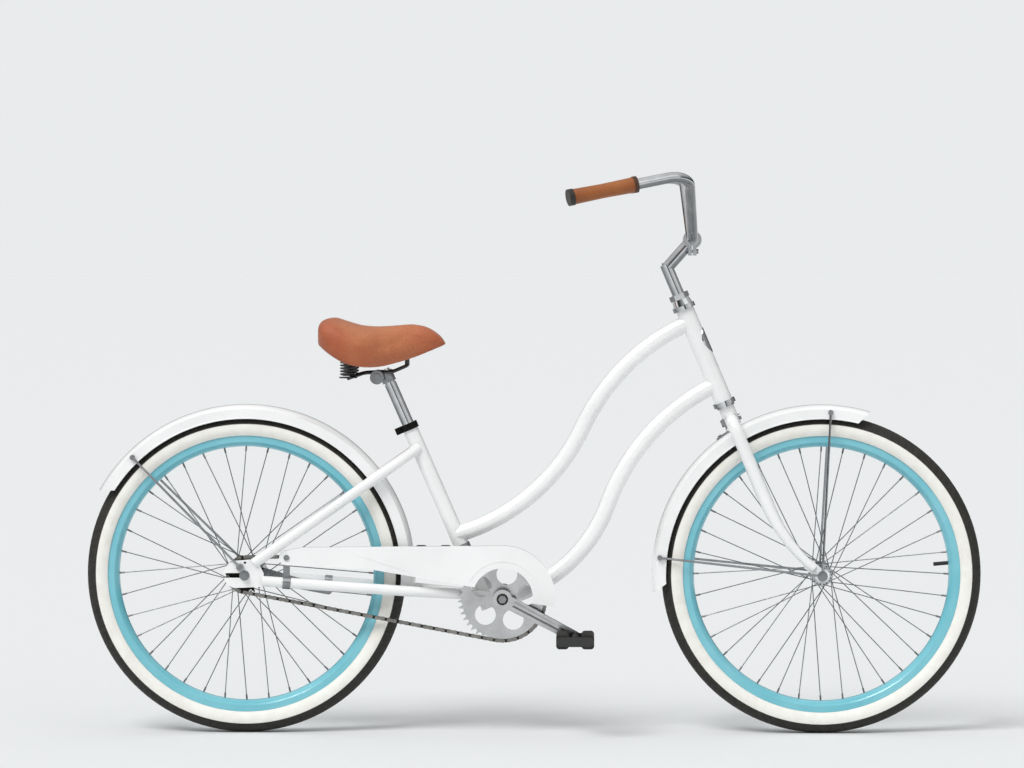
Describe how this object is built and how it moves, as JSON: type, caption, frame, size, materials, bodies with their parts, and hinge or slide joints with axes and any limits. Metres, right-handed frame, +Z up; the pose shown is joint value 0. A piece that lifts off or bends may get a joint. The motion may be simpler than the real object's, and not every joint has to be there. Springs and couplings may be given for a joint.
{
  "type": "beach cruiser bicycle",
  "caption": "Step-through cruiser bicycle with curved twin tubes, balloon whitewall tyres, full fenders, chain guard, swept-back bars, sprung saddle and coaster brake.",
  "frame": {"origin": "on the ground, midway between the two axles and in the bicycle's middle plane", "axes": "+X forward, +Y to the rider's left, +Z up; the drive side faces -Y"},
  "size_m": [1.8614, 0.6922, 1.1665],
  "materials": {
    "white_paint": "gloss white enamel",
    "aqua_paint": "gloss pale aqua enamel",
    "tyre_rubber": "black tread with cream side walls",
    "tube_rubber": "matt",
    "chrome": "polished",
    "zinc_steel": "bright zinc plate",
    "polished_alloy": "polished",
    "crank_chrome": "bright plate",
    "spoke_wire": "bright drawn wire",
    "stay_wire": "gloss white enamel on wire",
    "chain_steel": "oiled",
    "dark_steel": "satin black oxide",
    "black_paint": "satin black",
    "pedal_steel": "zinc plate",
    "pedal_rubber": "matt black",
    "brown_grip": "stitched tan",
    "black_plastic": "matt black",
    "brown_leather": "grained tan"
  },
  "bodies": {
    "frame": {"head_tube": "white_paint", "top_tube": "white_paint", "down_tube": "white_paint", "seat_tube": "white_paint", "bottom_bracket_shell": "white_paint", "chainstays": "white_paint", "seatstays": "white_paint", "rear_dropouts": "white_paint", "head_badge": "chrome", "headset_cups": "chrome", "seat_collar": "polished_alloy", "bottom_bracket_cups": "zinc_steel", "rear_fender": "white_paint", "rear_fender_stays": "stay_wire", "rear_fender_bolts": "zinc_steel", "chain_guard": "white_paint", "chain_guard_brackets": "zinc_steel", "brake_arm": "zinc_steel", "rear_axle": "zinc_steel", "chain": "chain_steel"},
    "fork": {"fork_crown": "white_paint", "fork_blades": "white_paint", "headset_nuts": "chrome", "front_fender": "white_paint", "front_fender_stays": "stay_wire", "front_fender_bolts": "zinc_steel", "front_axle": "zinc_steel"},
    "stem": {"stem": "chrome", "stem_bolts": "chrome"},
    "handlebar": {"handlebar": "chrome", "grips": "brown_grip", "grip_rings": "black_plastic"},
    "front_wheel": {"front_tyre": "tyre_rubber", "front_inner_tube": "tube_rubber", "front_rim": "aqua_paint", "front_spokes": "spoke_wire", "front_hub": "polished_alloy"},
    "rear_wheel": {"rear_tyre": "tyre_rubber", "rear_inner_tube": "tube_rubber", "rear_rim": "aqua_paint", "rear_spokes": "spoke_wire", "rear_hub": "polished_alloy"},
    "driver": {"rear_sprocket": "dark_steel"},
    "crankset": {"right_crank_arm": "crank_chrome", "left_crank_arm": "crank_chrome", "chainring": "crank_chrome", "bottom_bracket_spindle": "zinc_steel", "crank_caps": "black_plastic", "pedal_spindles": "pedal_steel"},
    "right_pedal": {"right_pedal_cage": "black_paint", "right_pedal_blocks": "pedal_rubber"},
    "left_pedal": {"left_pedal_cage": "black_paint", "left_pedal_blocks": "pedal_rubber"},
    "seat_post": {"seat_post": "chrome", "saddle_clamp": "black_paint"},
    "saddle": {"saddle_rails": "black_paint", "saddle_clamp_discs": "black_paint", "saddle_springs": "black_paint", "saddle_pan": "black_plastic", "saddle_cushion": "brown_leather"}
  },
  "joints": [
    {"name": "steering", "type": "hinge", "parent": "frame", "child": "fork", "pos_m": [0.39914, 0, 0.68184], "axis": [-0.3907, 0, 0.9205], "range_deg": [-80, 80]},
    {"name": "stem_height", "type": "slide", "parent": "fork", "child": "stem", "axis": [-0.3907, 0, 0.9205], "range_m": [-0.02, 0.04]},
    {"name": "bar_tilt", "type": "hinge", "parent": "stem", "child": "handlebar", "pos_m": [0.32947, 0, 1.02748], "axis": [0, 1, 0], "range_deg": [-25, 25]},
    {"name": "front_wheel_spin", "type": "hinge", "parent": "fork", "child": "front_wheel", "pos_m": [0.5987, 0, 0.332], "axis": [0, 1, 0], "continuous": true},
    {"name": "rear_wheel_spin", "type": "hinge", "parent": "frame", "child": "rear_wheel", "pos_m": [-0.5987, 0, 0.332], "axis": [0, 1, 0], "continuous": true},
    {"name": "crank_spin", "type": "hinge", "parent": "frame", "child": "crankset", "pos_m": [-0.06367, 0, 0.284], "axis": [0, 1, 0], "continuous": true, "deforming": ["chain"]},
    {"name": "driver_spin", "type": "hinge", "parent": "frame", "child": "driver", "pos_m": [-0.5987, 0, 0.332], "axis": [0, 1, 0], "continuous": true},
    {"name": "right_pedal_spin", "type": "hinge", "parent": "crankset", "child": "right_pedal", "pos_m": [0.08712, -0.12, 0.2055], "axis": [0, 1, 0], "continuous": true},
    {"name": "left_pedal_spin", "type": "hinge", "parent": "crankset", "child": "left_pedal", "pos_m": [-0.21446, 0.12, 0.3625], "axis": [0, 1, 0], "continuous": true},
    {"name": "seat_height", "type": "slide", "parent": "frame", "child": "seat_post", "axis": [-0.4019, 0, 0.9157], "range_m": [-0.07, 0.1]},
    {"name": "saddle_tilt", "type": "hinge", "parent": "seat_post", "child": "saddle", "pos_m": [-0.3252, 0, 0.74146], "axis": [0, 1, 0], "range_deg": [-15, 15]}
  ],
  "couplings": [
    {"joint": "driver_spin", "follows": "crank_spin", "ratio": 2.4444}
  ]
}
